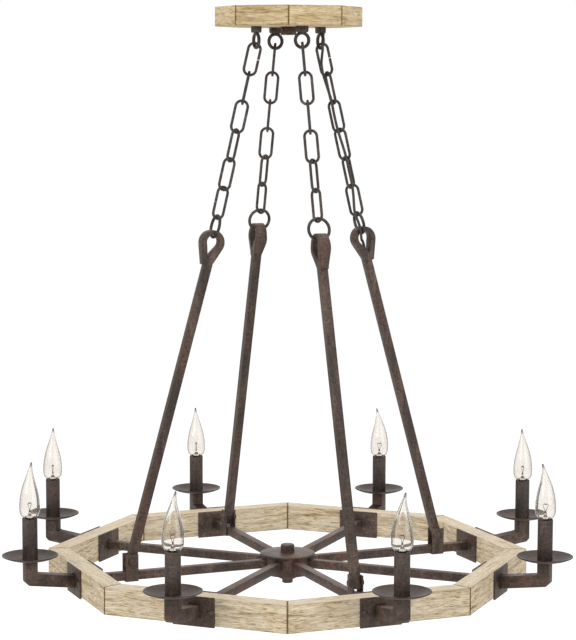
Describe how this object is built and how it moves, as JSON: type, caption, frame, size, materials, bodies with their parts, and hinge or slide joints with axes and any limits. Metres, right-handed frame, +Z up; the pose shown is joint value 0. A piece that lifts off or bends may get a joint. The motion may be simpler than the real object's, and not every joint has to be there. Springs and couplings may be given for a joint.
{
  "type": "wagon wheel chandelier",
  "caption": "Octagonal wooden wheel with iron straps, spokes and candle arms with flame bulbs, hung by chains and square rods from an octagonal ceiling canopy.",
  "frame": {"origin": "centre of the canopy's ceiling face", "axes": "+Z up towards the ceiling, -Y towards the pictured side"},
  "size_m": [0.9158, 0.9158, 0.961],
  "materials": {
    "canopy_wood": "weathered, matt",
    "ring_wood": "weathered, matt",
    "bracket_steel": "zinc plated",
    "brass_thread": "satin",
    "fitting_iron": "rust brown, matt",
    "chain_iron": "dark, matt",
    "rod_iron": "rust brown, matt",
    "wheel_iron": "rust brown, matt",
    "sleeve_iron": "rust brown, matt",
    "socket_plastic": "matt",
    "cord_cover": "matt",
    "bulb_cap_brass": "satin",
    "bulb_glass": "clear"
  },
  "bodies": {
    "canopy": {"canopy_boards": "canopy_wood", "canopy_panel": "canopy_wood", "canopy_plate": "bracket_steel", "ceiling_crossbar": "bracket_steel", "mounting_nipple": "brass_thread", "canopy_collar": "fitting_iron", "loop_lugs": "fitting_iron", "canopy_loops": "fitting_iron", "loop_nuts": "bracket_steel", "cord_bushing": "cord_cover", "supply_cord": "cord_cover"},
    "hub_centre": {"hub_bolt": "fitting_iron", "hub_washer": "fitting_iron", "hub_nut": "fitting_iron"},
    "wheel": {"rod_a": "rod_iron", "rod_c": "rod_iron", "stirrups": "rod_iron", "stirrup_bolts": "fitting_iron", "wheel_boards": "ring_wood", "outer_straps": "wheel_iron", "inner_straps": "wheel_iron", "strap_bolts": "fitting_iron", "spokes": "wheel_iron", "hub_drum": "wheel_iron", "hub_lid": "wheel_iron", "splice_block": "socket_plastic", "lamp_leads": "cord_cover", "arms": "wheel_iron", "drip_pans": "wheel_iron", "candle_sleeves": "sleeve_iron", "lamp_sockets": "socket_plastic", "socket_nipples": "brass_thread", "pan_nuts": "brass_thread"},
    "rod_b": {"rod_b": "rod_iron"},
    "rod_d": {"rod_d": "rod_iron"},
    "chain_a_top": {"chain_a_top_link": "chain_iron"},
    "chain_a_lower": {"chain_a_links": "chain_iron"},
    "chain_b_top": {"chain_b_top_link": "chain_iron"},
    "chain_b_lower": {"chain_b_links": "chain_iron"},
    "chain_c_top": {"chain_c_top_link": "chain_iron"},
    "chain_c_lower": {"chain_c_links": "chain_iron"},
    "chain_d_top": {"chain_d_top_link": "chain_iron"},
    "chain_d_lower": {"chain_d_links": "chain_iron"},
    "bulb_cap_1": {"bulb_cap_1": "bulb_cap_brass"},
    "bulb_glass_1": {"bulb_glass_1": "bulb_glass"},
    "bulb_cap_2": {"bulb_cap_2": "bulb_cap_brass"},
    "bulb_glass_2": {"bulb_glass_2": "bulb_glass"},
    "bulb_cap_3": {"bulb_cap_3": "bulb_cap_brass"},
    "bulb_glass_3": {"bulb_glass_3": "bulb_glass"},
    "bulb_cap_4": {"bulb_cap_4": "bulb_cap_brass"},
    "bulb_glass_4": {"bulb_glass_4": "bulb_glass"},
    "bulb_cap_5": {"bulb_cap_5": "bulb_cap_brass"},
    "bulb_glass_5": {"bulb_glass_5": "bulb_glass"},
    "bulb_cap_6": {"bulb_cap_6": "bulb_cap_brass"},
    "bulb_glass_6": {"bulb_glass_6": "bulb_glass"},
    "bulb_cap_7": {"bulb_cap_7": "bulb_cap_brass"},
    "bulb_glass_7": {"bulb_glass_7": "bulb_glass"},
    "bulb_cap_8": {"bulb_cap_8": "bulb_cap_brass"},
    "bulb_glass_8": {"bulb_glass_8": "bulb_glass"}
  },
  "joints": [
    {"name": "sway", "type": "hinge", "parent": "canopy", "child": "hub_centre", "pos_m": [0, 0, 0.1487], "axis": [0.3827, -0.9239, 0], "range_deg": [-1.8, 1.8], "deforming": ["supply_cord"]},
    {"name": "twist", "type": "hinge", "parent": "hub_centre", "child": "wheel", "pos_m": [0, 0, -0.925], "axis": [0, 0, 1], "range_deg": [-5, 5], "stiffness_Nm_per_rad": 1.9, "deforming": ["supply_cord"]},
    {"name": "chain_a_swing", "type": "hinge", "parent": "canopy", "child": "chain_a_top", "pos_m": [0.02223, -0.05367, -0.05954], "axis": [0.3723, -0.8987, 0.2317], "range_deg": [-2.92, 2.92]},
    {"name": "chain_a_twist", "type": "hinge", "parent": "chain_a_top", "child": "chain_a_lower", "pos_m": [0.02649, -0.06395, -0.10623], "axis": [0.1913, -0.4619, 0.866], "range_deg": [-3.54, 3.54]},
    {"name": "chain_b_swing", "type": "hinge", "parent": "canopy", "child": "chain_b_top", "pos_m": [0.05266, 0.02181, -0.06665], "axis": [0.3827, -0.9239, 0], "range_deg": [-2.26, 2.26]},
    {"name": "chain_b_twist", "type": "hinge", "parent": "chain_b_top", "child": "chain_b_lower", "pos_m": [0.06395, 0.02649, -0.10623], "axis": [0.4619, 0.1913, 0.866], "range_deg": [-3.54, 3.54]},
    {"name": "chain_c_swing", "type": "hinge", "parent": "canopy", "child": "chain_c_top", "pos_m": [-0.02223, 0.05367, -0.05954], "axis": [-0.3723, 0.8987, 0.2317], "range_deg": [-2.92, 2.92]},
    {"name": "chain_c_twist", "type": "hinge", "parent": "chain_c_top", "child": "chain_c_lower", "pos_m": [-0.02649, 0.06395, -0.10623], "axis": [-0.1913, 0.4619, 0.866], "range_deg": [-3.54, 3.54]},
    {"name": "chain_d_swing", "type": "hinge", "parent": "canopy", "child": "chain_d_top", "pos_m": [-0.05266, -0.02181, -0.06665], "axis": [0.3827, -0.9239, 0], "range_deg": [-2.26, 2.26]},
    {"name": "chain_d_twist", "type": "hinge", "parent": "chain_d_top", "child": "chain_d_lower", "pos_m": [-0.06395, -0.02649, -0.10623], "axis": [-0.4619, -0.1913, 0.866], "range_deg": [-3.54, 3.54]},
    {"name": "rod_b_hinge", "type": "hinge", "parent": "wheel", "child": "rod_b", "pos_m": [0.25686, 0.1064, -0.9017], "axis": [0.3827, -0.9239, 0], "range_deg": [-0.4643, 0.4643]},
    {"name": "rod_d_hinge", "type": "hinge", "parent": "wheel", "child": "rod_d", "pos_m": [-0.25686, -0.1064, -0.9017], "axis": [0.3827, -0.9239, 0], "range_deg": [-0.4643, 0.4643]},
    {"name": "bulb_1_rise", "type": "slide", "parent": "wheel", "child": "bulb_cap_1", "axis": [0, 0, 1], "range_m": [0, 0.0127]},
    {"name": "bulb_1_turn", "type": "hinge", "parent": "bulb_cap_1", "child": "bulb_glass_1", "pos_m": [0.17107, -0.413, -0.8185], "axis": [0, 0, 1], "range_deg": [0, 1800]},
    {"name": "bulb_2_rise", "type": "slide", "parent": "wheel", "child": "bulb_cap_2", "axis": [0, 0, 1], "range_m": [0, 0.0127]},
    {"name": "bulb_2_turn", "type": "hinge", "parent": "bulb_cap_2", "child": "bulb_glass_2", "pos_m": [0.413, -0.17107, -0.8185], "axis": [0, 0, 1], "range_deg": [0, 1800]},
    {"name": "bulb_3_rise", "type": "slide", "parent": "wheel", "child": "bulb_cap_3", "axis": [0, 0, 1], "range_m": [0, 0.0127]},
    {"name": "bulb_3_turn", "type": "hinge", "parent": "bulb_cap_3", "child": "bulb_glass_3", "pos_m": [0.413, 0.17107, -0.8185], "axis": [0, 0, 1], "range_deg": [0, 1800]},
    {"name": "bulb_4_rise", "type": "slide", "parent": "wheel", "child": "bulb_cap_4", "axis": [0, 0, 1], "range_m": [0, 0.0127]},
    {"name": "bulb_4_turn", "type": "hinge", "parent": "bulb_cap_4", "child": "bulb_glass_4", "pos_m": [0.17107, 0.413, -0.8185], "axis": [0, 0, 1], "range_deg": [0, 1800]},
    {"name": "bulb_5_rise", "type": "slide", "parent": "wheel", "child": "bulb_cap_5", "axis": [0, 0, 1], "range_m": [0, 0.0127]},
    {"name": "bulb_5_turn", "type": "hinge", "parent": "bulb_cap_5", "child": "bulb_glass_5", "pos_m": [-0.17107, 0.413, -0.8185], "axis": [0, 0, 1], "range_deg": [0, 1800]},
    {"name": "bulb_6_rise", "type": "slide", "parent": "wheel", "child": "bulb_cap_6", "axis": [0, 0, 1], "range_m": [0, 0.0127]},
    {"name": "bulb_6_turn", "type": "hinge", "parent": "bulb_cap_6", "child": "bulb_glass_6", "pos_m": [-0.413, 0.17107, -0.8185], "axis": [0, 0, 1], "range_deg": [0, 1800]},
    {"name": "bulb_7_rise", "type": "slide", "parent": "wheel", "child": "bulb_cap_7", "axis": [0, 0, 1], "range_m": [0, 0.0127]},
    {"name": "bulb_7_turn", "type": "hinge", "parent": "bulb_cap_7", "child": "bulb_glass_7", "pos_m": [-0.413, -0.17107, -0.8185], "axis": [0, 0, 1], "range_deg": [0, 1800]},
    {"name": "bulb_8_rise", "type": "slide", "parent": "wheel", "child": "bulb_cap_8", "axis": [0, 0, 1], "range_m": [0, 0.0127]},
    {"name": "bulb_8_turn", "type": "hinge", "parent": "bulb_cap_8", "child": "bulb_glass_8", "pos_m": [-0.17107, -0.413, -0.8185], "axis": [0, 0, 1], "range_deg": [0, 1800]}
  ],
  "couplings": [
    {"joint": "chain_a_swing", "follows": "sway", "ratio": 1.6228},
    {"joint": "chain_a_twist", "follows": "twist", "ratio": 0.70718},
    {"joint": "chain_b_swing", "follows": "sway", "ratio": 1.2579},
    {"joint": "chain_b_twist", "follows": "twist", "ratio": 0.70718},
    {"joint": "chain_c_swing", "follows": "sway", "ratio": -1.6228},
    {"joint": "chain_c_twist", "follows": "twist", "ratio": 0.70718},
    {"joint": "chain_d_swing", "follows": "sway", "ratio": 1.2579},
    {"joint": "chain_d_twist", "follows": "twist", "ratio": 0.70718},
    {"joint": "rod_b_hinge", "follows": "sway", "ratio": 0.25789},
    {"joint": "rod_d_hinge", "follows": "sway", "ratio": 0.25789},
    {"joint": "bulb_1_rise", "follows": "bulb_1_turn", "m_per_rad": 0.00040425},
    {"joint": "bulb_2_rise", "follows": "bulb_2_turn", "m_per_rad": 0.00040425},
    {"joint": "bulb_3_rise", "follows": "bulb_3_turn", "m_per_rad": 0.00040425},
    {"joint": "bulb_4_rise", "follows": "bulb_4_turn", "m_per_rad": 0.00040425},
    {"joint": "bulb_5_rise", "follows": "bulb_5_turn", "m_per_rad": 0.00040425},
    {"joint": "bulb_6_rise", "follows": "bulb_6_turn", "m_per_rad": 0.00040425},
    {"joint": "bulb_7_rise", "follows": "bulb_7_turn", "m_per_rad": 0.00040425},
    {"joint": "bulb_8_rise", "follows": "bulb_8_turn", "m_per_rad": 0.00040425}
  ]
}
